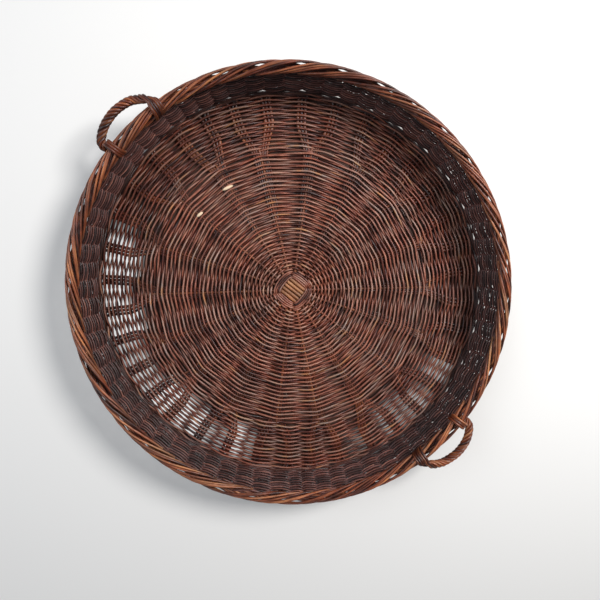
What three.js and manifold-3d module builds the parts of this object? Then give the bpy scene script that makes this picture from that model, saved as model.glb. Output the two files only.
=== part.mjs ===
// Round winnowing basket of woven willow: a wide flat base, a low upright wall, a rolled border
// and two rope handles. Millimetres, +Z up, the base lying on z = 0, centred on the origin.
// +X points through one handle and -X through the other.
import * as THREE from "three";
import { mergeVertices } from "three/addons/utils/BufferGeometryUtils.js";
import Module from "manifold-3d";

const wasm = await Module();
wasm.setup();

// ---- Driving dimensions (mm, degrees) ----
const GAP = 0.3; // between pieces that touch in the real basket
const OVAL_X = 1.009; // the hand-made round is slightly longer between the handles
const OVAL_Y = 0.991;
const ROUND_STEPS = 36; // sides of the round pieces, with a corner at each stake
const ROD_SIDES = 5;

const BASE_THICK = 14.8;
const BASE_MID = BASE_THICK / 2;
const SLATH_TURN = 6.6; // direction of the upper base sticks, from +X
const STICK_D = 6.8;
const STICKS_OVER = 5; // base sticks laid over
const STICKS_UNDER = 4; // the base sticks that they cross
const OVER_PITCH = 8.2;
const UNDER_PITCH = 9.4;
const STICK_RISE = STICK_D / 2 + GAP / 2; // each layer's centre from the middle of the base
const STICK_LEVEL_R = 55; // past here both layers lie at the middle of the base
const STICK_END_R = 306;
const TIE_R = 44; // outer radius of the slath's square tie
const OPENING_R = 290; // the stakes join the base sticks here, and the weave opens out
const BASE_R = 402;

const STAKES = 36;
const PITCH = 360 / STAKES;
const STAKE_D = 5.4;
const FOOT_OFFSET = 1.45; // a stake's foot lies beside its base stick at this angle
const SPREAD_R = 345; // past here the stakes are evenly spread
const STAKE_RISE = 5; // knots of a stake up to the top of the wall
const WALL_THICK = 12.6;
const WALL_FOOT_R = 413.5;
const WALL_TOP_R = 423.5;
const FOOT_WALE_OUT_R = 421.5;
const FOOT_WALE_TOP = 17;
const SIDE_TOP = 87;
const WALE_TOP = 93;

const BORDER_R = 425; // centre of the rolled border
const BORDER_Z = 102;
const BORDER_ARC = 10; // radius of the arc that the border rods lie on
const BORDER_FIRST = -20; // first rod, at the outside, from outwards
const BORDER_LAST = 200; // last rod, at the inside
const BORDER_SPAN = 4; // stakes that each rod runs past
const RIM_R = BORDER_R + BORDER_ARC + STAKE_D / 2;

const CORE_D = 6;
const CORE_END_R = 414;
const CORE_SPLAY = 15; // at the wrapped end, the core enters the wall this much further out than the rope
const ROPE_D = 18;
const ROPE_HOLE_D = 8.4;
const ROPE_STRANDS = 5;
const ROPE_TURNS = 3.9;
const ROPE_STEPS = 30;
const ROPE_HALF_SPAN = 62; // middle of the rope's ends from the middle of the handle
const ROPE_FOOT_R = 446;
const ROPE_FOOT_Z = 92;
const WRAP_THICK = 4.2;
const WRAP_WIDTH = 17;
const WRAP_CLEAR = 2.4;
const WRAP_PLACES = { a: -62, b: 48 }; // along the border from the middle of the handle
const WRAP_FIRST = 14; // round the border from outwards, where the wrap meets the rope's end
const WRAP_LAST = 218; // its inner end, against the wall
const HANDLES = [
  { name: "handle_right", direction: 0.4, reach: 33, height: 107 },
  { name: "handle_left", direction: 179.3, reach: 33, height: 101 },
];

// ---- Materials ----
const willow = (colour, roughness) =>
  new THREE.MeshStandardMaterial({ color: colour, roughness, metalness: 0 });
const stickWillow = willow(0x8a5a35, 0.6);
const weaverWillow = willow(0x5a3021, 0.55);
const sideWillow = willow(0x3a2524, 0.6);
const borderWillow = willow(0x7d4524, 0.5);
const handleWillow = willow(0x754527, 0.55);

// ---- Helpers ----
const radians = THREE.MathUtils.degToRad;

// The point at a radius, an angle from +X and a height.
const at = (radius, degrees, height) =>
  new THREE.Vector3(radius * Math.cos(radians(degrees)), radius * Math.sin(radians(degrees)), height);

// A centreline of straight runs, with one extrusion step from each knot to the next.
class KnotPath extends THREE.Curve {
  constructor(knots) {
    super();
    this.knots = knots;
  }

  getPoint(t) {
    const along = t * (this.knots.length - 1);
    const run = Math.min(Math.floor(along + 1e-9), this.knots.length - 2);
    return this.knots[run].clone().lerp(this.knots[run + 1], along - run);
  }

  getPointAt(u) {
    return this.getPoint(u);
  }

  getTangentAt(u) {
    const knot = Math.round(u * (this.knots.length - 1));
    const before = this.knots[Math.max(knot - 1, 0)];
    const here = this.knots[knot];
    const after = this.knots[Math.min(knot + 1, this.knots.length - 1)];
    const arriving = here.clone().sub(before).normalize();
    const leaving = after.clone().sub(here).normalize();
    return arriving.add(leaving).normalize();
  }
}

// A section of the rod's own area, so that a many-sided rod weighs what a round one does.
function rodSection(diameter, sides = ROD_SIDES) {
  const corner = (diameter / 2) * Math.sqrt((2 * Math.PI) / (sides * Math.sin((2 * Math.PI) / sides)));
  const corners = [];
  for (let i = 0; i < sides; i += 1) {
    const turn = (2 * Math.PI * i) / sides;
    corners.push(new THREE.Vector2(corner * Math.cos(turn), corner * Math.sin(turn)));
  }
  return new THREE.Shape(corners);
}

const sweep = (section, knots) =>
  new THREE.ExtrudeGeometry(section, {
    steps: knots.length - 1,
    extrudePath: new KnotPath(knots),
    bevelEnabled: false,
  });

const rod = (diameter, knots) => sweep(rodSection(diameter), knots);

// A closed profile of [radius, height] points, counter-clockwise, turned round the Z axis.
function turned(profile) {
  const closed = [...profile, profile[0]].map(([radius, height]) => new THREE.Vector2(radius, height));
  const geometry = new THREE.LatheGeometry(closed, ROUND_STEPS);
  geometry.rotateX(Math.PI / 2);
  geometry.rotateZ(radians(SLATH_TURN - PITCH / 2));
  return geometry;
}

// ---- Joining and cutting ----
function solid(geometry) {
  const bare = geometry.clone();
  bare.deleteAttribute("normal");
  bare.deleteAttribute("uv");
  const merged = mergeVertices(bare, 1e-4);
  return new wasm.Manifold(
    new wasm.Mesh({
      numProp: 3,
      vertProperties: merged.attributes.position.array,
      triVerts: new Uint32Array(merged.index.array),
    }),
  );
}

function cut(geometry, cutters) {
  let body = solid(geometry);
  for (const cutter of cutters) {
    body = body.subtract(solid(cutter));
  }
  const { vertProperties, triVerts } = body.getMesh();
  const result = new THREE.BufferGeometry();
  result.setAttribute("position", new THREE.BufferAttribute(vertProperties, 3));
  result.setIndex(new THREE.BufferAttribute(triVerts, 1));
  result.computeVertexNormals();
  return result;
}

// ---- Base sticks: five laid over four, tied at the slath and fanned out ----
function fan(count) {
  return Array.from({ length: count }, (_, i) => i - (count - 1) / 2);
}

// Half of a stick's knots, from the slath outwards, in the frame of its own layer.
function stickHalf(place, pitch, crossed, rise) {
  const slope = radians(place * 2 * PITCH);
  const edge = crossed / 2;
  const outwards = (radius, height) =>
    new THREE.Vector3(radius * Math.cos(slope), radius * Math.sin(slope), height);
  return [
    new THREE.Vector3(edge, place * pitch, BASE_MID + rise),
    outwards(STICK_LEVEL_R, BASE_MID),
    outwards(STICK_END_R, BASE_MID),
  ];
}

function stickKnots(place, pitch, crossed, rise, turn) {
  const half = stickHalf(place, pitch, crossed, rise);
  const other = half.map((knot) => new THREE.Vector3(-knot.x, knot.y, knot.z));
  const knots = [...other.reverse(), ...half];
  return knots.map((knot) => knot.applyAxisAngle(new THREE.Vector3(0, 0, 1), radians(turn)));
}

const overWidth = STICKS_OVER * OVER_PITCH;
const underWidth = STICKS_UNDER * UNDER_PITCH;
const sticks = [
  ...fan(STICKS_OVER).map((place) => stickKnots(place, OVER_PITCH, underWidth, STICK_RISE, SLATH_TURN)),
  ...fan(STICKS_UNDER).map((place) =>
    stickKnots(place, UNDER_PITCH, overWidth, -STICK_RISE, SLATH_TURN + 90)),
];

// ---- Stakes: foot in the base, riser in the wall, end laid into the border ----
const wallR = (height) =>
  THREE.MathUtils.mapLinear(height, FOOT_WALE_TOP, SIDE_TOP, WALL_FOOT_R, WALL_TOP_R);

// Where the border's rods lie: at the outside as the stake arrives, inside as the rod ends.
function borderPoint(step, direction) {
  const around = radians(THREE.MathUtils.lerp(BORDER_FIRST, BORDER_LAST, step / BORDER_SPAN));
  return at(
    BORDER_R + BORDER_ARC * Math.cos(around),
    direction + (step + 0.5) * PITCH,
    BORDER_Z + BORDER_ARC * Math.sin(around),
  );
}

function stakeKnots(index) {
  const side = index % 2 === 0 ? -1 : 1;
  const stick = SLATH_TURN + Math.floor(index / 2) * 2 * PITCH;
  const direction = stick + (side * PITCH) / 2;
  const knots = [
    at(OPENING_R + 1, stick + side * FOOT_OFFSET, BASE_MID),
    at(SPREAD_R, direction - side * 0.3, BASE_MID),
    at(BASE_R + 4, direction, BASE_MID),
    at(wallR(FOOT_WALE_TOP), direction, BASE_MID + 8),
    at(wallR(WALE_TOP), direction, WALE_TOP + 4.4),
  ];
  for (let step = 0; step <= BORDER_SPAN; step += 1) {
    knots.push(borderPoint(step, direction));
  }
  return knots;
}

const stakes = Array.from({ length: STAKES }, (_, index) => stakeKnots(index));

// ---- Handles: a core bow, a rope twisted round it, and wraps over the border ----
// A point in a handle's own frame: across it, at a radius of the basket, at a height.
function handlePoint(handle, across, radius, height) {
  const outwards = at(radius, handle.direction, height);
  const sideways = at(across, handle.direction + 90, 0);
  return outwards.add(sideways);
}

function ropeCurve(handle) {
  const bowR = RIM_R + handle.reach;
  const shoulderR = THREE.MathUtils.lerp(ROPE_FOOT_R, bowR, 0.4);
  const shoulderZ = THREE.MathUtils.lerp(ROPE_FOOT_Z, handle.height, 0.45);
  const side = (sign) => [
    [sign * ROPE_HALF_SPAN, ROPE_FOOT_R, ROPE_FOOT_Z],
    [sign * ROPE_HALF_SPAN * 0.87, shoulderR, shoulderZ],
    [sign * ROPE_HALF_SPAN * 0.5, bowR - 4.5, handle.height - 1.5],
  ];
  const points = [...side(-1), [0, bowR, handle.height], ...side(1).reverse()];
  return new THREE.CatmullRomCurve3(points.map((point) => handlePoint(handle, ...point)));
}

// The core bow runs on past the rope's ends and into the wall.
function coreKnots(handle) {
  const bow = ropeCurve(handle).getSpacedPoints(ROPE_STEPS);
  const end = (sign) => {
    const splay = sign < 0 ? CORE_SPLAY : 0;
    const place = (share) => sign * (ROPE_HALF_SPAN + share * splay);
    const inside = handlePoint(handle, place(1), CORE_END_R, ROPE_FOOT_Z - 12);
    const outside = handlePoint(handle, place(0.5), ROPE_FOOT_R - 7, ROPE_FOOT_Z - 8);
    return [inside, outside];
  };
  return [...end(-1), ...bow, ...end(1).reverse()];
}

// A rope's outline: lobed like its strands, with a hole for the core.
function ropeSection() {
  const corners = [];
  const count = ROPE_STRANDS * 2;
  for (let i = 0; i < count; i += 1) {
    const turn = (2 * Math.PI * i) / count;
    const lobe = i % 2 === 0 ? 0.8 : 1;
    corners.push(new THREE.Vector2(Math.cos(turn), Math.sin(turn)).multiplyScalar((lobe * ROPE_D) / 2));
  }
  const section = new THREE.Shape(corners);
  section.holes.push(new THREE.Path(rodSection(ROPE_HOLE_D).getPoints().reverse()));
  return section;
}

// A straight rope, bent on to its curve and twisted as it goes.
function rope(handle) {
  const geometry = new THREE.ExtrudeGeometry(ropeSection(), {
    depth: 1,
    steps: ROPE_STEPS,
    bevelEnabled: false,
  });
  const curve = ropeCurve(handle);
  const { normals, binormals } = curve.computeFrenetFrames(ROPE_STEPS, false);
  const positions = geometry.attributes.position;
  for (let i = 0; i < positions.count; i += 1) {
    const section = new THREE.Vector2(positions.getX(i), positions.getY(i));
    const share = positions.getZ(i);
    const step = Math.round(share * ROPE_STEPS);
    if (section.length() > ROPE_HOLE_D * 0.7) {
      section.rotateAround(new THREE.Vector2(), share * ROPE_TURNS * 2 * Math.PI);
    }
    const point = curve.getPointAt(share);
    point.addScaledVector(normals[step], section.x);
    point.addScaledVector(binormals[step], section.y);
    positions.setXYZ(i, point.x, point.y, point.z);
  }
  return geometry;
}

// Rods of the rope's end, laid side by side over the border like a strap.
function wrap(handle, place) {
  const inner = BORDER_ARC + STAKE_D / 2 + WRAP_CLEAR;
  const from = radians(WRAP_FIRST);
  const to = radians(WRAP_LAST);
  const strap = new THREE.Shape();
  strap.absarc(0, 0, inner + WRAP_THICK, from, to, false);
  strap.absarc(0, 0, inner, to, from, true);
  const geometry = new THREE.ExtrudeGeometry(strap, {
    depth: WRAP_WIDTH,
    steps: 1,
    curveSegments: 7,
    bevelEnabled: false,
  });
  geometry.translate(0, 0, -WRAP_WIDTH / 2);
  geometry.rotateX(Math.PI / 2);
  geometry.translate(BORDER_R, 0, BORDER_Z);
  geometry.rotateZ(radians(handle.direction) + Math.asin(place / BORDER_R));
  return geometry;
}

// ---- Woven bands, cut clear of what passes through them ----
const clearRod = (diameter, knots) => rod(diameter + 2 * GAP + 0.2, knots);

// The same knots with the two ends pushed on, so that a cut runs out past the band's faces.
function extended(knots, before, after) {
  const first = knots[0].clone().sub(knots[1]).setLength(before).add(knots[0]);
  const last = knots.at(-1).clone().sub(knots.at(-2)).setLength(after).add(knots.at(-1));
  return [first, ...knots.slice(1, -1), last];
}

const stickCutters = sticks.map((knots) => clearRod(STICK_D, extended(knots, 1, 1)));
const stakeCutters = stakes.map((knots) => clearRod(STAKE_D, extended(knots.slice(0, STAKE_RISE), 3, 1)));
const coreCutters = HANDLES.map((handle) => clearRod(CORE_D, extended(coreKnots(handle), 20, 20)));

const slathWindow = new THREE.BoxGeometry(underWidth + 2, overWidth + 2, 2 * BASE_THICK);
slathWindow.rotateZ(radians(SLATH_TURN));
slathWindow.translate(0, 0, BASE_MID);

const disc = (inner, outer) => [
  [inner, 0],
  [outer, 0],
  [outer, BASE_THICK],
  [inner, BASE_THICK],
];
const band = (low, high) => [
  [wallR(low) - WALL_THICK / 2, low],
  [wallR(low) + WALL_THICK / 2, low],
  [wallR(high) + WALL_THICK / 2, high],
  [wallR(high) - WALL_THICK / 2, high],
];
const footWale = [
  [BASE_R + GAP, 0],
  [FOOT_WALE_OUT_R - 5, 0],
  [FOOT_WALE_OUT_R, 5],
  [FOOT_WALE_OUT_R, FOOT_WALE_TOP],
  [BASE_R + 4, FOOT_WALE_TOP],
  [BASE_R + GAP, BASE_THICK],
];
const slathTie = new THREE.CylinderGeometry(TIE_R, TIE_R, BASE_THICK, ROUND_STEPS / 2);
slathTie.rotateX(Math.PI / 2);
slathTie.translate(0, 0, BASE_MID);

// ---- Assembly ----
const basket = new THREE.Group();
basket.scale.set(OVAL_X, OVAL_Y, 1);

function add(name, geometry, material) {
  const mesh = new THREE.Mesh(geometry, material);
  mesh.name = name;
  basket.add(mesh);
}

const numbered = (name, index) => `${name}_${String(index + 1).padStart(2, "0")}`;

sticks.forEach((knots, index) => add(numbered("base_stick", index), rod(STICK_D, knots), stickWillow));
stakes.forEach((knots, index) => add(numbered("stake", index), rod(STAKE_D, knots), borderWillow));

add("slath_tie", cut(slathTie, [slathWindow, ...stickCutters]), weaverWillow);
add("base_weave_inner", cut(turned(disc(TIE_R + GAP, OPENING_R - GAP)), stickCutters), weaverWillow);
add(
  "base_weave_outer",
  cut(turned(disc(OPENING_R, BASE_R - GAP)), [...stickCutters, ...stakeCutters]),
  weaverWillow,
);
add("foot_wale", cut(turned(footWale), stakeCutters), weaverWillow);
add(
  "side_weave",
  cut(turned(band(FOOT_WALE_TOP + GAP, SIDE_TOP)), [...stakeCutters, ...coreCutters]),
  sideWillow,
);
add("top_wale", cut(turned(band(SIDE_TOP + GAP, WALE_TOP)), stakeCutters), sideWillow);

for (const handle of HANDLES) {
  add(`${handle.name}_core`, rod(CORE_D, coreKnots(handle)), handleWillow);
  add(`${handle.name}_rope`, rope(handle), handleWillow);
  for (const [letter, place] of Object.entries(WRAP_PLACES)) {
    add(`${handle.name}_wrap_${letter}`, wrap(handle, place), handleWillow);
  }
}

export default basket;
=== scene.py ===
import math

import bpy
import numpy as np
from mathutils import Matrix, Vector


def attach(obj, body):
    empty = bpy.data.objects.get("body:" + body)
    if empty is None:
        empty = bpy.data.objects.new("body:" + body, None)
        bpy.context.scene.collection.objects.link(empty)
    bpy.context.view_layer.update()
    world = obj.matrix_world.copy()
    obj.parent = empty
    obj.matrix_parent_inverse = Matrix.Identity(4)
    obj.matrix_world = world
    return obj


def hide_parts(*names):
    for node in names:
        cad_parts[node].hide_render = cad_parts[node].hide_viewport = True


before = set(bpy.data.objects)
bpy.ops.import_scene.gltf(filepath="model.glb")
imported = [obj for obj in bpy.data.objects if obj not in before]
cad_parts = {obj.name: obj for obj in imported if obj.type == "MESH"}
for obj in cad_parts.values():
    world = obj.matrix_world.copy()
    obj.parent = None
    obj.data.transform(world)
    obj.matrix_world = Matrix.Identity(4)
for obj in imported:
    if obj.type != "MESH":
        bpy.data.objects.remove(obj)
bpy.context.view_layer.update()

# A round willow basket, woven rod by rod round the places that the CAD part gives to its sticks, stakes and bands.
rng = np.random.default_rng(7)

# ---- Dimensions in millimetres and degrees, as in the CAD part ----
MM = 0.001
TO_METRES = np.array([1.009, 0.991, 1.0]) * MM  # the round is slightly longer along X
UP = (0, 0, 1)

# Base sticks and stakes
SPOKES = 18  # the ends of the nine base sticks
STAKES = 36
STAKE_RODS = 3
STICK_TURN = 6.6
STICK_STEP = 20.0
STAKE_STEP = 10.0
STICK_WANDER = 0.9
STAKE_WANDER = 0.35
BASE_MID = 7.4
CROWN = 1.6  # rise of the base's middle over the slath
CROWN_TOP_R = 10.0
CROWN_R = 70.0
STICK_RISE = 3.1
OVER_PITCH = 8.0
UNDER_PITCH = 9.2
SLATH_R = 19.0
STICK_R = 3.8  # in the slath
STICK_SPREAD_R = 3.0  # where the sticks have spread
STICK_TIP_R = 2.5
STICK_KNOTS = (48.0, 62.0, 90.0, 130.0, 180.0, 230.0, 280.0, 306.0)  # radii of the basket, from slath to tip
STAKE_STARTS = (112.0, 172.0, 236.0)  # radii at which a stake's rods begin, from the one against the stick outwards
STAKE_SPREAD = 7.2  # between the rods of a stake where it lies in the outer base
STAKE_GAP = 5.1  # from a stick's middle to the first rod that lies beside it
STAKE_PITCH = 4.5  # and from that to the next
STAKE_LEAVES = 286.0  # radius at which the stakes part from the sticks
STAKE_PARTED = 352.0

# Weave of the base
TIE_FIRST = 23.0
TIE_ROWS = 4  # each a pair of rods
TIE_ROW = 4.3
TIE_POINTS = 161
TIE_LIFT = 5.6  # how far the first pair goes over and under the sticks
TIE_LIFT_LOSS = 0.35  # and how much less each further pair does
TIE_TILT = 2.6  # rise over one layer of sticks and drop at the other
TIE_TILT_LOSS = 0.7
TIE_SQUARENESS = 0.92
TIE_ROUNDING = 0.16  # squareness lost from row to row
TIE_LOWEST = 2.2
TIE_R = 2.1
SQUARE_POWER = 5.0
ROW_SQUARENESS = 0.42
WEAVE_FIRST = 36.4
SQUARE_LAST = 85.0  # out to here the rows keep some of the slath's squareness
OPENING = 290.0
BASE_R = 403.0
INNER_TURNS = (10, 10, 9)  # turns of the two weavers in each band of the base
OUTER_TURNS = (5, 4, 4)
BASE_ROD_LENGTHS = (500.0, 1000.0)
BASE_POINTS = {SPOKES: 14, STAKES: 10}  # points of a weaver from one column to the next
WEAVER_BUTT = 2.45
WEAVER_TIP = 2.1
LIFT = 4.7  # how far a weaver rises and falls over the base rods
OUTER_LIFT = 0.5  # and how much more over the stakes
BASE_CREST = 0.85  # below 1 a weaver stays longer over or under a column and crosses faster
BASE_WANDER = {"r": 0.55, "z": 0.5, "radius": 0.07}
OUTER_FROM = 285.0
OUTER_FULL = 335.0
BEND = 7.0  # half the length over which a weaver bends at a column
BOW = 0.25  # share of a straight row's sag between columns that is given back
TUCK = 0.6  # columns over which a rod's start dips under the one before
ROD_LAP = 0.16  # how far a rod runs on past the column that hides its end, in columns

# Directions in which the rows of the outer base pair up and leave slots: middle, half width, strength.
OPEN_SPANS = [(252.0, 48.0, 0.86), (339.0, 7.0, 0.42), (358.0, 12.0, 0.8), (14.0, 8.0, 0.4)]
SLOT_SHARES = (0.32, 0.88)
SLOT_STARTS = (328.0, 350.0)
SLOT_FADE = 22.0

# Long slanting cuts that show pale at two joins in the base.
CUT_ENDS = [{"r": 253.0, "direction": 167.0, "length": 24.0}, {"r": 250.5, "direction": 185.6, "length": 16.0}]
CUT_Z = 13.4
CUT_R = 3.3
CUT_SLANT = 3.0

# Wall
WALL_FOOT_Z = 15.8
WALL_TOP_Z = 87.0
WALL_FOOT_R = 413.5
WALL_TOP_R = 423.5
WALL_MEAN_R = 418.0
WALL_TURNS = (3, 3, 3)
WALL_ROD_LENGTHS = (900.0, 1500.0)
WALL_POINTS = 7
WALL_LIFT = 3.6
WALL_CREST = 0.75
WALL_WANDER = {"r": 0.4, "z": 0.6, "radius": 0.08}
WALL_WEAVER_BUTT = 2.25
WALL_WEAVER_TIP = 2.0
UPRIGHTS = (-2.85, -2.15, 2.5)  # degrees from a stake's middle at which its rods stand in the wall
UPRIGHT_KNOTS = (18.0, 34.0, 52.0, 70.0, 86.0, 93.0)  # heights
FOOT_TURN_R = 408.5  # the place at which the stakes turn up
FOOT_TURN_Z = 9.6
WALE_POINTS = 360  # points in a turn of a wale
# Rows of a wale: radius, height, the direction that is outside the stakes, in degrees up from level, and how far the
# row sags where daylight shows above it.
FOOT_WALE = [(406.6, 7.8, -78.0, 0.0), (410.6, 10.4, -52.0, 0.0), (413.5, 14.9, -25.0, 2.0)]
TOP_WALE = [(89.7, 90.0), (93.9, 94.0)]  # height, and the height at which the wall has the row's radius

# Border
BORDER_R = 425.0
BORDER_Z = 102.0
BORDER_ARC = 10.2
BORDER_ROD = 2.35
BORDER_BEGINS = 3.6  # degrees from a stake to where its first rod begins to roll over
BORDER_STEP = 2.4  # and from that to the next rod's
BORDER_SPANS = (23.0, 27.0)
BORDER_FIRST_ARC = -32.0
BORDER_LAST_ARC = 206.0

# Handles
HANDLES = [
    {"name": "handle_right", "direction": 0.4, "reach": 33.0, "height": 107.0, "shade": 0.95},
    {"name": "handle_left", "direction": 179.3, "reach": 33.0, "height": 101.0, "shade": 0.7},
]
RIM_R = 437.7
CORE_ROD = 2.8
CORE_SPLAY = 15.0
CORE_DOWN = [(414.0, 80.0), (439.0, 84.0)]  # radius and height of the core's end and of the point before it
ROPE_HALF_SPAN = 62.0
ROPE_FOOT_R = 446.0
ROPE_FOOT_Z = 92.0
# The strands of a rope: place in the flat row laid over the border, and direction round the rope.
STRANDS = [(-2, 180.0), (-1, 108.0), (0, 252.0), (1, 36.0), (2, 324.0)]
HELIX_PITCH = 47.0
STRAND_R = 3.05
STRAND_ORBIT = 5.4
STRAND_END = 30.0  # length over which the strands thin and close up at the end
LAID_R = 2.65
LAID_PITCH = 5.1
LAID_ARC = 16.4  # radius round the border's middle of the strands laid over it
LASHING_PLACE = 48.0
LASHING_RODS = 3

# Looks: the range from which a rod's lightness is drawn, and the painted shade on its sides, across and up and down
TIE_SHADES, TIE_SIDE_SHADE = (0.8, 1.1), (0.7, 0.0)
BASE_SHADES, BASE_SIDE_SHADE = (0.85, 1.2), (0.8, 0.0)
WALL_SHADES, WALL_SIDE_SHADE = (0.74, 1.26), (0.0, 0.97)
STAKE_SHADES, STAKE_SIDE_SHADE = (0.72, 1.28), (0.66, 0.0)
ROPE_SHADES, ROPE_SIDE_SHADE = (0.75, 1.15), (0.8, 0.0)
LASHING_SHADES, LASHING_SIDE_SHADE = (0.85, 1.1), (0.5, 0.0)
STICK_SIDE_SHADE = (0.45, 0.0)
STAKE_TONES = (0.28, 0.84)
ROPE_TONES = (0.35, 0.9)
LASHING_TONES = (0.4, 0.8)
STAKE_FRESH, ROPE_FRESH, LASHING_FRESH = 0.12, 0.3, 0.5  # how pale the cut ends are
FOOT_SHADE = 0.28  # painted shade of the stakes at the foot and in the wall, where they lie under the weave
BORDER_GAIN = 0.72  # and how much lighter they are in the border, where that painted shade is taken off
GRAIN_LENGTH = 9000.0  # each rod's grain begins somewhere in this length


def smooth(x, low, high):
    t = np.clip((x - low) / (high - low), 0.0, 1.0)
    return t * t * (3.0 - 2.0 * t)


def near(degrees, centre, width):
    """1 within about width of a direction, falling to 0 beyond it."""
    away = (degrees - centre + 180.0) % 360.0 - 180.0
    return np.exp(-((away / width) ** 6))


def drift(count, spacing, size):
    """A slow random wander: one value for each of count points."""
    knots = int(count / spacing) + 3
    values = rng.normal(0.0, size, knots)
    place = np.linspace(0.0, knots - 1.001, count)
    low = place.astype(int)
    share = place - low
    share = share * share * (3.0 - 2.0 * share)
    return values[low] * (1.0 - share) + values[low + 1] * share


def polar(radius, degrees, height):
    turn = np.radians(degrees)
    radius, turn, height = np.broadcast_arrays(radius, turn, height)
    return np.stack([radius * np.cos(turn), radius * np.sin(turn), height], axis=-1)


def unit(vectors):
    return vectors / np.linalg.norm(vectors, axis=1, keepdims=True)


def distances(path):
    """How far along a path each of its points is."""
    return np.concatenate([[0.0], np.cumsum(np.linalg.norm(np.diff(path, axis=0), axis=1))])


def through(knots, step):
    """Points about step apart on a smooth curve through the knots."""
    knots = np.asarray(knots, float)
    padded = np.vstack([2 * knots[0] - knots[1], knots, 2 * knots[-1] - knots[-2]])
    points = []
    for i in range(len(knots) - 1):
        a, b, c, d = padded[i : i + 4]
        count = max(int(np.linalg.norm(c - b) / step), 1)
        for t in np.arange(count) / count:
            points.append(
                0.5 * (2 * b + (c - a) * t + (2 * a - 5 * b + 4 * c - d) * t * t + (3 * b - a - 3 * c + d) * t**3)
            )
    points.append(knots[-1])
    return np.array(points)


class Rods:
    """Round rods gathered into one mesh."""

    def __init__(self, sides=8):
        self.sides = sides
        self.count = 0
        self.co, self.quads, self.caps, self.rod, self.grain = [], [], [], [], []

    def add(self, path, radius, up, tone, shade=1.0, fresh=0.0, painted_side_shade=(0.0, 0.0), bare=0.0):
        """A rod along path. tone picks its colour and shade its lightness. fresh makes its ends pale as if newly cut,
        and bare its whole length. The pair given for its sides paints shade on them where they face its neighbours
        and shade falls between the rods: the two across up, and up and down. No rod dips into the table."""
        path = np.array(path, float)
        n = len(path)
        radius = np.broadcast_to(np.asarray(radius, float), (n,))
        path[:, 2] = np.maximum(path[:, 2], radius)
        tangent = unit(np.gradient(path, axis=0))
        side = unit(np.cross(np.broadcast_to(np.asarray(up, float), (n, 3)), tangent))
        lift = np.cross(tangent, side)
        turn = np.linspace(0.0, 2 * np.pi, self.sides, endpoint=False)
        ring = np.cos(turn)[None, :, None] * side[:, None, :] + np.sin(turn)[None, :, None] * lift[:, None, :]
        self.co.append((path[:, None, :] + ring * radius[:, None, None]).reshape(-1, 3))
        grain = np.zeros((n, self.sides, 3))
        grain[:, :, 0] = (distances(path) + rng.uniform(0.0, GRAIN_LENGTH))[:, None]
        grain[:, :, 1] = radius[:, None] * np.cos(turn)
        grain[:, :, 2] = radius[:, None] * np.sin(turn)
        self.grain.append(grain.reshape(-1, 3))
        rod = np.ones((n, self.sides, 4))
        rod[:, :, 0] = tone
        # Painted shade on the sides that face the neighbouring rods.
        dirt_and_crevice_shade = 1.0 - painted_side_shade[0] * np.cos(turn) ** 2 - painted_side_shade[1] * np.sin(turn) ** 2
        rod[:, :, 1] = np.broadcast_to(shade, (n,))[:, None] * dirt_and_crevice_shade[None, :]
        rod[:, :, 2] = bare
        rod[[0, -1], :, 2] = max(fresh, bare)
        self.rod.append(rod.reshape(-1, 4))
        start = self.count + np.arange(n - 1)[:, None] * self.sides
        j = np.arange(self.sides)[None, :]
        k = (j + 1) % self.sides
        quads = np.stack([start + j, start + k, start + self.sides + k, start + self.sides + j], axis=2)
        self.quads.append(quads.reshape(-1, 4))
        self.caps.append(self.count + np.arange(self.sides)[::-1])
        self.caps.append(self.count + (n - 1) * self.sides + np.arange(self.sides))
        self.count += n * self.sides

    def build(self, name, material, nodes):
        co = np.concatenate(self.co) * TO_METRES
        quads = np.concatenate(self.quads)
        caps = np.array(self.caps)
        mesh = bpy.data.meshes.new(name)
        mesh.vertices.add(len(co))
        mesh.vertices.foreach_set("co", co.astype(np.float32).ravel())
        corners = np.concatenate([quads.ravel(), caps.ravel()]).astype(np.int32)
        mesh.loops.add(len(corners))
        mesh.loops.foreach_set("vertex_index", corners)
        mesh.polygons.add(len(quads) + len(caps))
        starts = np.concatenate([np.arange(len(quads)) * 4, len(quads) * 4 + np.arange(len(caps)) * self.sides])
        mesh.polygons.foreach_set("loop_start", starts.astype(np.int32))
        mesh.update(calc_edges=True)
        mesh.polygons.foreach_set("use_smooth", np.concatenate([np.ones(len(quads), bool), np.zeros(len(caps), bool)]))
        for attribute, kind, field, values in (
            ("rod", "FLOAT_COLOR", "color", self.rod),
            ("grain", "FLOAT_VECTOR", "vector", self.grain),
        ):
            data = mesh.attributes.new(attribute, kind, "POINT").data
            data.foreach_set(field, np.concatenate(values).astype(np.float32).ravel())
        mesh.update()
        mesh.validate()
        mesh.materials.append(material)
        piece = bpy.data.objects.new(name, mesh)
        bpy.context.scene.collection.objects.link(piece)
        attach(piece, "root")
        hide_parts(*nodes)
        return piece


# ---- Willow material ----
FRESH_CUT = (0.75, 0.58, 0.40, 1.0)
UMBER = (1.0, 0.46, 0.22, 1.0)  # the dark parts of a rod, its painted shade among them, are tinted with this
GREYED = (0.86, 1.02, 1.14, 1.0)
REDDENED = (1.13, 0.93, 0.82, 1.0)
WHITE = (1.0, 1.0, 1.0, 1.0)
SHEEN_TINT = (0.95, 0.96, 1.0, 1.0)
EVEN = (1.0, 1.0, 1.0)
STREAKS = (0.05, 1.3, 1.3)  # scales along and across the grain
PATCHES = (0.022, 0.1, 0.1)
SPECKS = (0.5, 1.5, 1.5)
DIRT_SCALE = 9.0
WEATHERING_SCALE = 17.0
BUMP_STRENGTH = 0.5
BUMP_HEIGHT = 0.0004


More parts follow.
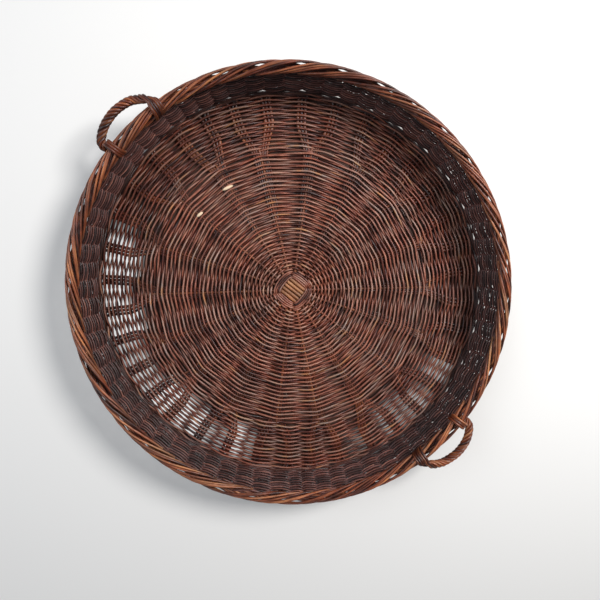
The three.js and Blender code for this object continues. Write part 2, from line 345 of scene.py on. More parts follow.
def node_maker(tree):
    """A function that adds a node to the tree. It takes the node's type, what goes into its inputs, which is a value or
    another node's output, and its settings."""

    def make(kind, inputs=None, **settings):
        node = tree.nodes.new(kind)
        for key, value in settings.items():
            setattr(node, key, value)
        for socket, value in (inputs or {}).items():
            if isinstance(value, bpy.types.NodeSocket):
                tree.links.new(value, node.inputs[socket])
            else:
                node.inputs[socket].default_value = value
        return node

    return make


def willow(name, stops, roughness, gloss=0.5, mottle=3.2):
    """Peeled and stained willow: each rod its own colour along the ramp, with grain, patches and dirt.
    mottle is how sharply the wood turns from greyer to redder places."""
    material = bpy.data.materials.new(name)
    material.use_nodes = True
    material.node_tree.nodes.clear()
    make = node_maker(material.node_tree)

    def calc(operation, a, b, clamp=False):
        return make("ShaderNodeMath", {0: a, 1: b}, operation=operation, use_clamp=clamp).outputs[0]

    def vary(value, texture, amount, clamp=False):
        """The value, moved up and down as the texture is above or below its middle."""
        return calc("ADD", value, calc("MULTIPLY", calc("SUBTRACT", texture, 0.5), amount), clamp)

    def noise(vector, stretch, scale, detail):
        place = make("ShaderNodeMapping", {"Vector": vector, "Scale": stretch}).outputs[0]
        inputs = {"Vector": place, "Scale": scale, "Detail": detail, "Roughness": 0.6}
        return make("ShaderNodeTexNoise", inputs).outputs[0]

    def blend(factor, low, high):
        return make("ShaderNodeMix", {"Factor": factor, "A": low, "B": high}, data_type="RGBA").outputs["Result"]

    def tinted(colour, tint):
        return make("ShaderNodeVectorMath", {0: colour, 1: tint}, operation="MULTIPLY").outputs[0]

    rod = make("ShaderNodeAttribute", attribute_name="rod").outputs["Color"]
    tone, shade, fresh = make("ShaderNodeSeparateColor", {0: rod}).outputs
    grain = make("ShaderNodeAttribute", attribute_name="grain").outputs["Vector"]
    place = make("ShaderNodeTexCoord").outputs["Object"]
    streaks = noise(grain, STREAKS, 1.0, 4.0)
    patches = noise(grain, PATCHES, 1.0, 3.0)
    specks = noise(grain, SPECKS, 1.0, 2.0)
    dirt_and_crevice_shade = noise(place, EVEN, DIRT_SCALE, 3.0)
    weathering = noise(place, EVEN, WEATHERING_SCALE, 2.0)

    position = vary(vary(vary(tone, patches, 1.9), streaks, 0.55), dirt_and_crevice_shade, 0.5, clamp=True)
    ramp = make("ShaderNodeValToRGB", {0: position})
    while len(ramp.color_ramp.elements) < len(stops):
        ramp.color_ramp.elements.new(0.5)
    for element, (spot, colour) in zip(ramp.color_ramp.elements, stops):
        element.position = spot
        element.color = (*colour, 1.0)

    level = calc("MULTIPLY", shade, calc("ADD", 0.72, calc("MULTIPLY", specks, 0.56)))
    colour = make("ShaderNodeVectorMath", {0: ramp.outputs[0], "Scale": level}, operation="SCALE").outputs[0]
    colour = tinted(colour, blend(calc("MULTIPLY", level, 1.08, clamp=True), UMBER, WHITE))
    weathered = vary(0.5, vary(weathering, patches, 0.8), mottle, clamp=True)
    colour = tinted(colour, blend(weathered, GREYED, REDDENED))
    relief = {
        "Strength": BUMP_STRENGTH,
        "Distance": BUMP_HEIGHT,
        "Height": calc("ADD", streaks, calc("MULTIPLY", specks, 0.5)),
    }
    surface = {
        "Base Color": blend(fresh, colour, FRESH_CUT),
        "Roughness": calc("ADD", roughness - 0.12, calc("MULTIPLY", streaks, 0.26)),
        "Specular IOR Level": gloss,
        "Specular Tint": SHEEN_TINT,
        "Normal": make("ShaderNodeBump", relief).outputs[0],
    }
    make("ShaderNodeOutputMaterial", {0: make("ShaderNodeBsdfPrincipled", surface).outputs[0]})
    return material


def srgb(r, g, b):
    return tuple(((c / 255 + 0.055) / 1.055) ** 2.4 for c in (r, g, b))


weaver_stops = [
    (0.0, srgb(44, 15, 6)),
    (0.25, srgb(91, 43, 27)),
    (0.45, srgb(140, 84, 65)),
    (0.62, srgb(152, 109, 92)),
    (0.8, srgb(148, 127, 119)),
    (1.0, srgb(170, 128, 88)),
]
side_stops = [
    (0.0, srgb(58, 38, 37)),
    (0.35, srgb(92, 60, 57)),
    (0.7, srgb(136, 98, 94)),
    (1.0, srgb(166, 126, 116)),
]
stick_stops = [
    (0.0, srgb(66, 32, 16)),
    (0.4, srgb(118, 72, 42)),
    (0.7, srgb(150, 98, 60)),
    (1.0, srgb(172, 124, 82)),
]
border_stops = [
    (0.0, srgb(44, 17, 8)),
    (0.3, srgb(92, 44, 23)),
    (0.55, srgb(134, 74, 42)),
    (0.78, srgb(152, 100, 68)),
    (1.0, srgb(178, 124, 76)),
]
weaver_willow = willow("weaver_willow", weaver_stops, 0.46)
side_willow = willow("side_willow", side_stops, 0.44, 0.45, 1.3)
stick_willow = willow("stick_willow", stick_stops, 0.5)
border_willow = willow("border_willow", border_stops, 0.42)


# ---- Columns: the base sticks and stakes that the weavers pass ----
stick_angles = STICK_TURN + np.arange(SPOKES) * STICK_STEP + rng.normal(0.0, STICK_WANDER, SPOKES)
stake_angles = np.repeat(stick_angles, 2) + np.tile([-STAKE_STEP / 2, STAKE_STEP / 2], SPOKES)
stake_angles += rng.normal(0.0, STAKE_WANDER, STAKES)
upright_angles = np.sort(np.concatenate([stake_angles - UPRIGHTS[2], stake_angles + UPRIGHTS[2]]))
slot_shares = rng.uniform(*SLOT_SHARES, STAKES)
slot_starts = rng.uniform(*SLOT_STARTS, STAKES)


def angle_at(phase, ring):
    """The direction at a place counted in columns of the ring."""
    n = len(ring)
    closed = np.append(ring, ring[0] + 360.0)
    turns = np.floor(phase / n)
    return np.interp(phase - turns * n, np.arange(n + 1), closed) + 360.0 * turns


def base_mid(r):
    return BASE_MID + CROWN * (1.0 - smooth(r, CROWN_TOP_R, CROWN_R))


def openness(degrees, r):
    """How far the rows are paired at a place: the gaps between stakes differ in strength and in where they begin."""
    amount = np.zeros(np.shape(degrees))
    for centre, width, strength in OPEN_SPANS:
        amount = np.maximum(amount, strength * near(degrees, centre, width))
    gap = np.floor((degrees - stake_angles[0]) / STAKE_STEP).astype(int) % STAKES
    begin = slot_starts[gap]
    return amount * slot_shares[gap] * smooth(r, begin, begin + SLOT_FADE)


# ---- Weavers ----
def weaver_tone():
    return rng.choice([0.3, 0.42, 0.5, 0.6, 0.72], p=[0.12, 0.3, 0.28, 0.18, 0.12]) + rng.normal(0, 0.05)


def chasing_rods(strand, turns, n, early, late, radius_of, lengths, per_column):
    """One of two weavers that chase each other over n columns, cut into the rods that it is made of. For each rod it
    gives the columns at which it starts and ends, its points, counted in columns, and how far it has tapered there.
    At the start of the weave the second weaver begins half a turn early, and at its end the first ends half a turn
    late, which keeps the rows round."""
    half_turn = n // 4 * 2  # an even number of columns
    cuts = [float(strand - (half_turn if early and strand == 1 else 0))]
    last = float(strand + turns * n + (half_turn if late and strand == 0 else 0))
    while cuts[-1] < last:
        spacing = 2 * math.pi * radius_of(cuts[-1]) / n
        cuts.append(cuts[-1] + max(2 * round(rng.uniform(*lengths) / spacing / 2), 2))
    cuts[-1] = last
    for index, (start, end) in enumerate(zip(cuts[:-1], cuts[1:])):
        c = np.arange(start - ROD_LAP, end + ROD_LAP, 1.0 / per_column)
        taper = (c - start) / (end - start)
        yield start, end, c, (1.0 - taper if index % 2 else taper)


def rounded_square(degrees, amount):
    turn = np.radians(degrees - STICK_TURN)
    corners = np.abs(np.cos(turn)) ** SQUARE_POWER + np.abs(np.sin(turn)) ** SQUARE_POWER
    shape = 1.0 / corners ** (1.0 / SQUARE_POWER)
    return 1.0 + (shape - 1.0) * amount


def weave_disc(rods, ring, first_r, row, turns, early, late):
    """Two weavers chasing each other outwards, over and under each column."""
    n = len(ring)
    points = BASE_POINTS[n]
    step_angle = 2 * math.pi / n
    for strand in range(2):

        def radius_of(phase):
            return first_r + row * (0.5 + strand) + 2 * row * (phase - strand) / n

        spans = chasing_rods(strand, turns, n, early, late, radius_of, BASE_ROD_LENGTHS, points)
        for start, end, c, taper in spans:
            m = len(c)
            base_r = radius_of(c)
            degrees = angle_at(c, ring)
            nearest = np.abs(c - np.round(c))
            soft = np.sqrt(nearest**2 + (BEND / (base_r * step_angle)) ** 2)
            r = base_r * math.cos(step_angle / 2) / np.cos(np.clip(0.5 - soft, 0, 1) * step_angle)
            r = r + BOW * (1.0 - math.cos(step_angle / 2)) * base_r
            r = r * rounded_square(degrees, ROW_SQUARENESS * (1.0 - smooth(base_r, WEAVE_FIRST, SQUARE_LAST)))
            wave = -np.cos(np.pi * (c - strand))
            height = np.sign(wave) * np.abs(wave) ** BASE_CREST
            pairing = openness(degrees, r)
            outer = smooth(r, OUTER_FROM, OUTER_FULL)
            r = r + row / 2 * pairing * np.sign(wave) * smooth(np.abs(wave), 0.2, 0.75)
            r = r + drift(m, points * 1.2, BASE_WANDER["r"])
            z = base_mid(r) + (LIFT + OUTER_LIFT * outer) * height + drift(m, points, BASE_WANDER["z"])
            joint = np.minimum(c - c[0], c[-1] - c)
            z = z - (1.0 - smooth(joint, 0.0, TUCK)) * (c < (start + end) / 2)
            radius = WEAVER_BUTT + (WEAVER_TIP - WEAVER_BUTT) * taper + drift(m, points * 2, BASE_WANDER["radius"])
            # Painted shade: the outer base is darker, most towards 175 degrees.
            shade = rng.uniform(*BASE_SHADES) * (1.0 - outer * (0.2 + 0.16 * near(degrees, 175.0, 60.0)))
            # Painted shade: a weaver is darker where it dips under the columns.
            shade = shade * (0.5 + 0.5 * smooth(height, -0.5, 0.6))
            rods.add(polar(r, degrees, z), radius, UP, weaver_tone(), shade, 0.0, BASE_SIDE_SHADE)


def weave_tie(rods):
    """Pairs of rods that hug the slath as a square: one over each bunch of sticks, the other under it."""
    for row in range(TIE_ROWS):
        for strand in range(2):
            degrees = STICK_TURN + 90.0 * np.linspace(0.0, 4.0, TIE_POINTS)
            base_r = TIE_FIRST + TIE_ROW * row + 0.5 * strand
            r = base_r * rounded_square(degrees, TIE_SQUARENESS - TIE_ROUNDING * row)
            bunch = np.tanh(5.2 * (np.cos(2.0 * np.radians(degrees - STICK_TURN)) + 0.17))
            height = (TIE_LIFT - TIE_LIFT_LOSS * row) * (bunch if strand else -bunch)
            z = np.maximum(base_mid(r) + height + (TIE_TILT - TIE_TILT_LOSS * row) * bunch, TIE_LOWEST)
            r = r + drift(len(r), 20, 0.2)
            path = polar(r, degrees, z)
            path[-1] = path[0]
            rods.add(path, TIE_R, UP, weaver_tone(), rng.uniform(*TIE_SHADES), 0.0, TIE_SIDE_SHADE)


def weave_base(part, ring, first_r, last_r, band_turns):
    """A ring of the base as bands of whole turns, so that each band's rows carry on from the last."""
    row = (last_r - first_r) / (2 * sum(band_turns))
    for number, turns in enumerate(band_turns):
        rods = Rods()
        at_edge = last_r == BASE_R and number == len(band_turns) - 1
        weave_disc(rods, ring, first_r, row, turns, first_r == WEAVE_FIRST, at_edge)
        for end in CUT_ENDS:
            if first_r <= end["r"] < first_r + 2 * row * turns:
                along = np.linspace(-0.5, 0.5, 9)
                turn = end["direction"] + np.degrees(along * end["length"] / end["r"])
                path = polar(end["r"] + CUT_SLANT * along, turn, CUT_Z)
                rods.add(path, CUT_R * np.sqrt(1.06 - (2 * along) ** 2), UP, 0.9, bare=1.0)
        rods.build(f"{part}_{number + 1}", weaver_willow, [part])
        first_r += 2 * row * turns


tie = Rods()
weave_tie(tie)
tie.build("slath_binding", weaver_willow, ["slath_tie"])
weave_base("base_weave_inner", stick_angles, WEAVE_FIRST, OPENING, INNER_TURNS)
weave_base("base_weave_outer", stake_angles, OPENING, BASE_R, OUTER_TURNS)


# ---- Base sticks ----
# The two layers of the slath: places of the sticks in it, rise, the spoke that the middle points at, and tones.
STICK_LAYERS = [
    {"places": (-2, -1, 0, 1, 2), "pitch": OVER_PITCH, "rise": STICK_RISE, "spoke": 0.0, "tones": (0.5, 0.75)},
    {"places": (-1.5, -0.5, 0.5, 1.5), "pitch": UNDER_PITCH, "rise": -STICK_RISE, "spoke": 4.5, "tones": (0.4, 0.65)},
]


def stick_path(across, rise, turn, ends):
    """One base stick, through the slath and out both ways."""
    there, back = [[polar(r, angle, base_mid(r)) for r in STICK_KNOTS] for angle in ends]
    spin = Matrix.Rotation(math.radians(turn), 3, "Z")
    middle = []
    for x in (-SLATH_R, -7.0, 7.0, SLATH_R):
        middle.append(np.array(spin @ Vector((x, across, base_mid(SLATH_R) + rise))))
    return through(back[::-1] + middle + there, 7.0)


def add_stick(name, node, layer, place):
    """A base stick, light at the bare slath, with painted shade where it runs between the weavers."""
    ends = [stick_angles[int(layer["spoke"] + spoke) % SPOKES] for spoke in (place, SPOKES / 2 - place)]
    turn = STICK_TURN + layer["spoke"] * STICK_STEP
    path = stick_path(place * layer["pitch"], layer["rise"], turn, ends)
    away = np.linalg.norm(path[:, :2], axis=1)
    radius = STICK_R + (STICK_SPREAD_R - STICK_R) * smooth(away, 20.0, 52.0)
    radius = radius + (STICK_TIP_R - STICK_SPREAD_R) * smooth(away, 60.0, 300.0)
    # Painted shade: the stick is half as light once it runs under the weavers.
    shade = 1.0 - 0.5 * smooth(away, 20.0, 30.0)
    rods = Rods(10)
    rods.add(path, radius, UP, rng.uniform(*layer["tones"]), shade, 0.0, STICK_SIDE_SHADE)
    rods.build(name, stick_willow, [node])


sticks = [(layer, place) for layer in STICK_LAYERS for place in layer["places"]]
for number, (layer, place) in enumerate(sticks, start=1):
    add_stick(f"base_rod_{number:02d}", f"base_stick_{number:02d}", layer, place)


# ---- Stakes: three rods side by side in the base, parted in the wall, and rolled over into the border ----
def wall_r(z):
    return WALL_FOOT_R + (z - WALL_FOOT_Z) * (WALL_TOP_R - WALL_FOOT_R) / (WALL_TOP_Z - WALL_FOOT_Z)


def border_point(direction, arc):
    a = math.radians(arc)
    return polar(BORDER_R + BORDER_ARC * math.cos(a), direction, BORDER_Z + BORDER_ARC * math.sin(a))


def stake_rod_path(index, j):
    """Rod j of a stake: beside its base stick, out to its own column, up the wall and over the border."""
    stick = stick_angles[index // 2]
    side = 1 if index % 2 else -1
    place = j if side > 0 else STAKE_RODS - 1 - j  # 0 lies against the stick
    lateral = side * (STAKE_GAP + STAKE_PITCH * place)
    column = stake_angles[index]
    start = STAKE_STARTS[place] + rng.uniform(-14.0, 14.0)
    knots = []
    for r in np.append(np.arange(start, STAKE_LEAVES, 34.0), 292.0):
        knots.append(polar(r, stick + math.degrees(lateral / r), BASE_MID))
    for r in (320.0, 348.0, 374.0, 398.0):
        own = column + math.degrees((j - 1) * STAKE_SPREAD / r)
        beside = stick + math.degrees(lateral / r)
        share = float(smooth(r, STAKE_LEAVES, STAKE_PARTED))
        knots.append(polar(r, beside + (own - beside) * share, BASE_MID))
    knots.append(polar(FOOT_TURN_R, column + 0.62 * UPRIGHTS[j], FOOT_TURN_Z))
    for z in UPRIGHT_KNOTS:
        knots.append(polar(wall_r(z), column + UPRIGHTS[j], z))
    span = rng.uniform(*BORDER_SPANS)
    begin = column + BORDER_BEGINS + BORDER_STEP * j
    for arc in np.linspace(BORDER_FIRST_ARC, BORDER_LAST_ARC, 9):
        share = (arc - BORDER_FIRST_ARC) / (BORDER_LAST_ARC - BORDER_FIRST_ARC)
        knots.append(border_point(begin + span * share, arc))
    return through(knots, 6.0)


def stake_reference(path):
    """For a stake rod's grime: the direction round the basket in the wall, and out of the roll in the border."""
    around = unit(np.stack([-path[:, 1], path[:, 0], np.zeros(len(path))], axis=1))
    centre = polar(BORDER_R, np.degrees(np.arctan2(path[:, 1], path[:, 0])), BORDER_Z)
    blend = smooth(path[:, 2], 86.0, 96.0)[:, None]
    return around * (1.0 - blend) + unit(path - centre) * blend


def stake_radius(path, away):
    """Thin at its start in the base, thicker in the outer base, thinner in the wall."""
    n = len(path)
    z = path[:, 2]
    radius = np.interp(np.arange(n), [0, 6, n * 0.5, n - 1], [1.0, 2.2, BORDER_ROD, 2.1]) + drift(n, 12, 0.07)
    radius = radius + 0.95 * smooth(away, 310.0, 350.0) * (1.0 - smooth(z, 9.0, 16.0))
    return radius * (1.0 - 0.22 * smooth(z, 14.0, 24.0) * (1.0 - smooth(z, 84.0, 94.0)))


def stake_shade(path, away, direction):
    """Painted shade where the rods lie under the weave: in the inner base, towards the foot and in the wall, taken off
    in the border; painted shade also on the stakes towards 110 degrees. Lighter in part of the outer base, most towards
    125 degrees.
    """
    z = path[:, 2]
    outer_lightness = rng.uniform(0.4, 0.8) + 0.7 * near(direction, 125.0, 55.0)
    # Painted shade where the rods lie under the weavers in the inner base, at the foot and in the wall, taken off again
    # in the border.
    in_base = np.interp(away, [280.0, 318.0, 345.0, 375.0, 395.0], [0.45, outer_lightness, outer_lightness, 0.5 * outer_lightness, FOOT_SHADE])
    shade = in_base + (FOOT_SHADE - in_base) * smooth(z, 10.0, 20.0) + BORDER_GAIN * smooth(z, 80.0, 97.0)
    # Painted shade on the stakes towards 110 degrees.
    return shade * rng.uniform(*STAKE_SHADES) * (1.0 - 0.24 * near(direction, 110.0, 60.0))


for index in range(STAKES):
    rods = Rods()
    for j in range(STAKE_RODS):
        path = stake_rod_path(index, j)
        away = np.linalg.norm(path[:, :2], axis=1)
        radius = stake_radius(path, away)
        shade = stake_shade(path, away, stake_angles[index])
        tone = rng.uniform(*STAKE_TONES)
        rods.add(path, radius, stake_reference(path), tone, shade, STAKE_FRESH, STAKE_SIDE_SHADE)
    rods.build(f"stake_rods_{index + 1:02d}", border_willow, [f"stake_{index + 1:02d}"])


# ---- Wall: foot wale, weave and top wale ----
def weave_wall(rods, low, row, turns, early, late):
    """Two weavers chasing each other up the uprights, inside and outside them."""
    n = len(upright_angles)
    for strand in range(2):
        spans = chasing_rods(strand, turns, n, early, late, lambda phase: WALL_MEAN_R, WALL_ROD_LENGTHS, WALL_POINTS)
        for _, _, c, taper in spans:
            m = len(c)
            z = low + row * (0.5 + strand) + 2 * row * (c - strand) / n
            degrees = angle_at(c, upright_angles)
            wave = -np.cos(np.pi * (c - strand))
            r = wall_r(z) + WALL_LIFT * np.sign(wave) * np.abs(wave) ** WALL_CREST
            r = r + drift(m, WALL_POINTS, WALL_WANDER["r"])
            z = z + drift(m, WALL_POINTS * 1.5, WALL_WANDER["z"])
            radius = WALL_WEAVER_BUTT + (WALL_WEAVER_TIP - WALL_WEAVER_BUTT) * taper
            radius = radius + drift(m, WALL_POINTS * 2, WALL_WANDER["radius"])
            tone = rng.normal(0.46, 0.16)
            # Painted shade: the wall's rods are darker towards 262 degrees.
            shade = rng.uniform(*WALL_SHADES) * (1.0 - 0.2 * near(degrees, 262.0, 60.0))
            rods.add(polar(r, degrees, z), radius, UP, tone, shade, 0.0, WALL_SIDE_SHADE)


def weave_wale(rods, ring, rows, size, thickness, count, light, painted_side_shade):
    """A wale: rods one column apart, each in front of most columns and behind one in every count of them.
    size is how far a rod goes in and out."""
    n = len(ring)
    points = WALE_POINTS // n
    for row_r, row_z, slope, sag in rows:
        out_r = math.cos(math.radians(slope))
        out_z = math.sin(math.radians(slope))
        for strand in range(count):
            c = np.linspace(0.0, n, n * points + 1)
            phase = 2 * np.pi * (c + strand) / count
            out = size * np.tanh(1.6 * (np.cos(phase) + 0.35))
            along = 0.45 * thickness * np.sin(phase)
            wander = drift(len(c), points * 1.5, 0.25)
            wander[-points:] = np.linspace(wander[-points], wander[0], points)
            r = row_r + out * out_r - along * out_z + wander
            z = row_z + out * out_z + along * out_r
            degrees = angle_at(c, ring)
            path = polar(r, degrees, z - sag * near(degrees, 42.0, 28.0))
            path[-1] = path[0]
            shade = rng.uniform(*light) + 0.4 * near(degrees, 145.0, 16.0) + 0.55 * near(degrees, 318.0, 22.0)
            # Painted shade on the sides of the rod that face its neighbours.
            rods.add(path, thickness / 2, UP, weaver_tone() - 0.05, shade, 0.0, (painted_side_shade, painted_side_shade))


rods = Rods()
weave_wale(rods, stake_angles, FOOT_WALE, 5.0, 3.9, 2, (0.3, 0.95), 0.85)
rods.build("foot_waling", weaver_willow, ["foot_wale"])

low = WALL_FOOT_Z
row = (WALL_TOP_Z - WALL_FOOT_Z) / (2 * sum(WALL_TURNS))
for number, turns in enumerate(WALL_TURNS):
    rods = Rods()
    weave_wall(rods, low, row, turns, number == 0, number == len(WALL_TURNS) - 1)
    rods.build(f"side_weave_{number + 1}", side_willow, ["side_weave"])
    low += 2 * row * turns

rods = Rods()
top_rows = [(wall_r(wall_z), z, 0.0, 0.0) for z, wall_z in TOP_WALE]
weave_wale(rods, upright_angles, top_rows, 4.6, 4.2, 3, (0.6, 0.95), 0.5)
rods.build("top_waling", side_willow, ["top_wale"])


# ---- Handles ----
def handle_frame(handle):
    out = np.append(polar(1.0, handle["direction"], 0.0)[:2], 0.0)
    across = np.array([-out[1], out[0], 0.0])
    return out, across


def handle_points(handle, places):
    """Points given as place along the border, radius of the basket and height."""
    out, across = handle_frame(handle)
    return [out * r + across * a + np.array([0.0, 0.0, z]) for a, r, z in places]


def moving_frame(path, first):
    """Two directions across a path at each point, which turn with the path and don't spin round it."""
    tangent = unit(np.gradient(path, axis=0))
    normal = np.empty_like(path)
    here = np.asarray(first, float)
    for i, t in enumerate(tangent):
        here = here - t * np.dot(here, t)
        here = here / np.linalg.norm(here)
        normal[i] = here
    return normal, np.cross(tangent, normal)


def laid_places(place, lean, first, last, count):
    """Places over the border at one spot along it, from arc first to arc last."""
    return [
        (
            place + lean * (arc - 90.0) / 90.0,
            BORDER_R + LAID_ARC * math.cos(math.radians(arc)),
            BORDER_Z + LAID_ARC * math.sin(math.radians(arc)),
        )
        for arc in np.linspace(first, last, count)
    ]


def even(path, step):
    """The same line with points an even step apart, and how far along it each is."""
    along = distances(path)
    where = np.linspace(0.0, along[-1], int(along[-1] / step))
    return np.stack([np.interp(where, along, path[:, k]) for k in range(3)], axis=1), where


def bow_places(handle):
    """The bow from just past its first foot, where the rope rises from the border, to its second foot."""
    half, height = ROPE_HALF_SPAN, handle["height"]
    bow_r = RIM_R + handle["reach"]
    shoulder = (half * 0.87, ROPE_FOOT_R + 0.4 * (bow_r - ROPE_FOOT_R), ROPE_FOOT_Z + 0.45 * (height - ROPE_FOOT_Z))
    return [
        (-half * 0.5, bow_r - 4.5, height - 1.5),
        (0.0, bow_r, height),
        (half * 0.5, bow_r - 4.5, height - 1.5),
        shoulder,
        (half, ROPE_FOOT_R, ROPE_FOOT_Z),
    ]


def build_core(handle):
    """The rod inside the rope, with its ends pushed down beside the stakes."""
    half = ROPE_HALF_SPAN
    arch = bow_places(handle)
    shoulder = arch[3]
    end, before = CORE_DOWN
    places = [(-half - CORE_SPLAY, *end), (-half - CORE_SPLAY / 2, *before), (-half, ROPE_FOOT_R, ROPE_FOOT_Z)]
    places += [(-shoulder[0], *shoulder[1:])] + arch + [(half, *before), (half, *end)]
    core = Rods()
    path = through(handle_points(handle, places), 4.0)
    core.add(path, CORE_ROD, moving_frame(path, UP)[0], 0.4)
    core.build(f"{handle['name']}_bow", border_willow, [f"{handle['name']}_core"])


def build_rope(handle):
    """Strands laid flat over the border at one foot, which then twist round the core to the other."""
    half, height = ROPE_HALF_SPAN, handle["height"]
    across = handle_frame(handle)[1]
    over = laid_places(-half - 1.0, 5.0, 216.0, 66.0, 7)
    places = over + [(-57.5, 444.0, 112.0), (-46.0, 456.5, height + 1.5)] + bow_places(handle)
    places += [(half * 0.98, 437.0, 85.5), (half * 0.95, 428.0, 81.0)]
    line, along = even(through(handle_points(handle, places), 2.0), 2.5)
    normal, binormal = moving_frame(line, across)
    flat_end = np.linalg.norm(line - handle_points(handle, [over[-1]])[0], axis=1).argmin()
    twist = smooth(along, along[flat_end] - 12.0, along[flat_end] + 30.0)
    turn = 2 * np.pi / HELIX_PITCH * np.cumsum(twist) * (along[1] - along[0])
    ending = smooth(along, along[-1] - STRAND_END, along[-1])
    orbit = twist * (1.0 - 0.6 * ending) * STRAND_ORBIT
    rope = Rods(10)
    for beside, around in STRANDS:
        x = (1.0 - twist) * beside * LAID_PITCH + orbit * math.cos(math.radians(around))
        y = orbit * math.sin(math.radians(around))
        across_rope = (x * np.cos(turn) - y * np.sin(turn))[:, None] * normal
        through_rope = (x * np.sin(turn) + y * np.cos(turn))[:, None] * binormal
        path = line + across_rope + through_rope
        radius = STRAND_R + (LAID_R - STRAND_R) * (1.0 - twist) + drift(len(path), 10, 0.06)
        radius = radius * (1.0 - 0.3 * ending)
        tone = rng.uniform(*ROPE_TONES)
        shade = handle["shade"] * rng.uniform(*ROPE_SHADES)
        rope.add(path, radius, moving_frame(path, across)[0], tone, shade, ROPE_FRESH, ROPE_SIDE_SHADE)
    name = handle["name"]
    rope.build(f"{name}_twist", border_willow, [f"{name}_rope", f"{name}_wrap_a"])


def build_lashing(handle):
    """Rod ends laid over the border at the second foot."""
    across = handle_frame(handle)[1]
    lashing = Rods(10)
    for strand in range(LASHING_RODS):
        place = LASHING_PLACE + (strand - 1) * LAID_PITCH
        path = through(handle_points(handle, laid_places(place, -3.0, -30.0, 216.0, 14)), 3.0)
        tone = rng.uniform(*LASHING_TONES)
        shade = handle["shade"] * rng.uniform(*LASHING_SHADES)
        lashing.add(path, LAID_R, moving_frame(path, across)[0], tone, shade, LASHING_FRESH, LASHING_SIDE_SHADE)
    lashing.build(f"{handle['name']}_lashing", border_willow, [f"{handle['name']}_wrap_b"])


for handle in HANDLES:
    build_core(handle)
    build_rope(handle)
    build_lashing(handle)


# ---- Floor ----
FLOOR_RINGS = (0.0, 200.0, 300.0, 320.0, 340.0, 360.0, 380.0, 400.0, 410.0, 425.0, 6000.0)
FLOOR_SECTORS = 360
FLOOR_Z = -0.5
FLOOR_PALE = (0.74, 0.745, 0.74, 1.0)
# Painted shadow under the basket, and the strength of the painted daylight that glows where the weave is open.
FLOOR_PAINTED_SHADOW = (0.05, 0.022, 0.014, 1.0)
FLOOR_PAINTED_DAYLIGHT = 0.78


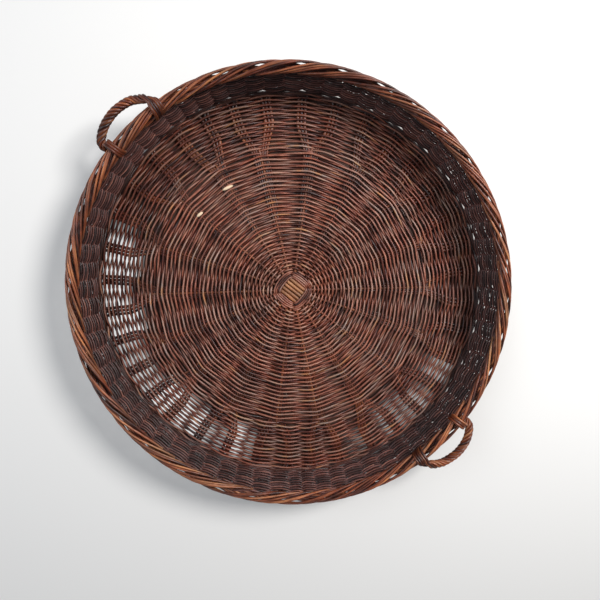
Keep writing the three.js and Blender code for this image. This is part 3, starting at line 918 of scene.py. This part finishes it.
def make_floor():
    """A pale table with a painted shadow under the basket, and painted daylight glowing on it where the weave above
    is open. Rays from beneath and shadow rays pass through it, so that the underside can be seen and lit."""
    degrees = np.tile(np.arange(FLOOR_SECTORS) * 360.0 / FLOOR_SECTORS, len(FLOOR_RINGS))
    away = np.repeat(FLOOR_RINGS, FLOOR_SECTORS)
    co = polar(np.maximum(away, 1.0), degrees, 0.0) * TO_METRES
    faces = [tuple(range(FLOOR_SECTORS))]
    for ring in range(len(FLOOR_RINGS) - 1):
        a, b = ring * FLOOR_SECTORS, (ring + 1) * FLOOR_SECTORS
        for i in range(FLOOR_SECTORS):
            k = (i + 1) % FLOOR_SECTORS
            faces.append((a + i, b + i, b + k, a + k))
    mesh = bpy.data.meshes.new("floor")
    mesh.from_pydata([tuple(v) for v in co], [], faces)
    lit = np.ones((len(co), 4))  # red: painted daylight glow, green: from painted shadow to the pale table
    lit[:, 0] = smooth(openness(degrees, away + 12.0), 0.15, 0.5) * (1.0 - smooth(away, 398.0, 410.0))
    lit[:, 1] = smooth(away, 408.0, 425.0)
    mesh.attributes.new("lit", "FLOAT_COLOR", "POINT").data.foreach_set("color", lit.astype(np.float32).ravel())
    floor = bpy.data.objects.new("floor", mesh)
    bpy.context.scene.collection.objects.link(floor)
    floor.location.z = FLOOR_Z * MM

    material = bpy.data.materials.new("pale_floor")
    material.use_nodes = True
    material.node_tree.nodes.clear()
    make = node_maker(material.node_tree)
    lit_colour = make("ShaderNodeAttribute", attribute_name="lit").outputs["Color"]
    painted_daylight, pale, _ = make("ShaderNodeSeparateColor", {0: lit_colour}).outputs
    # Painted shadow mixed into the table's colour under the basket.
    tint = make("ShaderNodeMix", {"Factor": pale, "A": FLOOR_PAINTED_SHADOW, "B": FLOOR_PALE}, data_type="RGBA")
    surface = {
        "Base Color": tint.outputs["Result"],
        "Roughness": 0.75,
        "Emission Color": WHITE,
        # Painted daylight: the table glows white where the weave above is open.
        "Emission Strength": make("ShaderNodeMath", {0: painted_daylight, 1: FLOOR_PAINTED_DAYLIGHT}, operation="MULTIPLY").outputs[0],
    }
    beneath = make("ShaderNodeNewGeometry").outputs["Backfacing"]
    shadow = make("ShaderNodeLightPath").outputs["Is Shadow Ray"]
    passes = make("ShaderNodeMath", {0: beneath, 1: shadow}, operation="MAXIMUM").outputs[0]
    table = make("ShaderNodeBsdfPrincipled", surface).outputs[0]
    clear = make("ShaderNodeBsdfTransparent").outputs[0]
    mixed = make("ShaderNodeMixShader", {0: passes, 1: table, 2: clear}).outputs[0]
    make("ShaderNodeOutputMaterial", {0: mixed})
    mesh.materials.append(material)


make_floor()

# ---- Light and camera, in metres ----
# Soft round lamps aimed at the middle of the basket: name, place, size, watts, colour.
LAMPS = [
    ("key", (0.3, 1.5, 1.75), 0.8, 62.0, (1.0, 0.97, 0.94)),
    ("fill", (-1.4, -0.6, 1.9), 1.6, 24.0, (0.95, 0.97, 1.0)),
    ("under", (0.3, -0.3, -1.6), 1.6, 9.0, (1.0, 0.98, 0.95)),
]
SKY = (0.93, 0.95, 1.0, 1.0)
SKY_STRENGTH = 0.24
CAMERA_PLACE = (-0.0937, 0.0345, 0.9775)
# Rows: the camera's right, up and back.
CAMERA_AXES = Matrix(((0.7064, 0.7053, 0.0592), (-0.6970, 0.7078, -0.1151), (-0.1231, 0.0400, 0.9916)))
LENS = 26.88
SENSOR = 36.0

for name, place, size, power, colour in LAMPS:
    light = bpy.data.lights.new(name, "AREA")
    light.shape = "DISK"
    light.size = size
    light.energy = power
    light.color = colour
    lamp = bpy.data.objects.new(name, light)
    bpy.context.scene.collection.objects.link(lamp)
    lamp.location = place
    lamp.rotation_euler = (-Vector(place)).to_track_quat("-Z", "Y").to_euler()

world = bpy.data.worlds.new("studio")
bpy.context.scene.world = world
world.use_nodes = True
sky = world.node_tree.nodes["Background"]
sky.inputs["Color"].default_value = SKY
sky.inputs["Strength"].default_value = SKY_STRENGTH

camera_data = bpy.data.cameras.new("camera")
camera_data.lens = LENS
camera_data.sensor_width = SENSOR
camera_data.clip_start = 0.01
camera = bpy.data.objects.new("camera", camera_data)
bpy.context.scene.collection.objects.link(camera)
camera.rotation_mode = "QUATERNION"
camera.location = CAMERA_PLACE
camera.rotation_quaternion = CAMERA_AXES.transposed().to_quaternion()
bpy.context.scene.camera = camera
bpy.context.scene.view_settings.view_transform = "Standard"
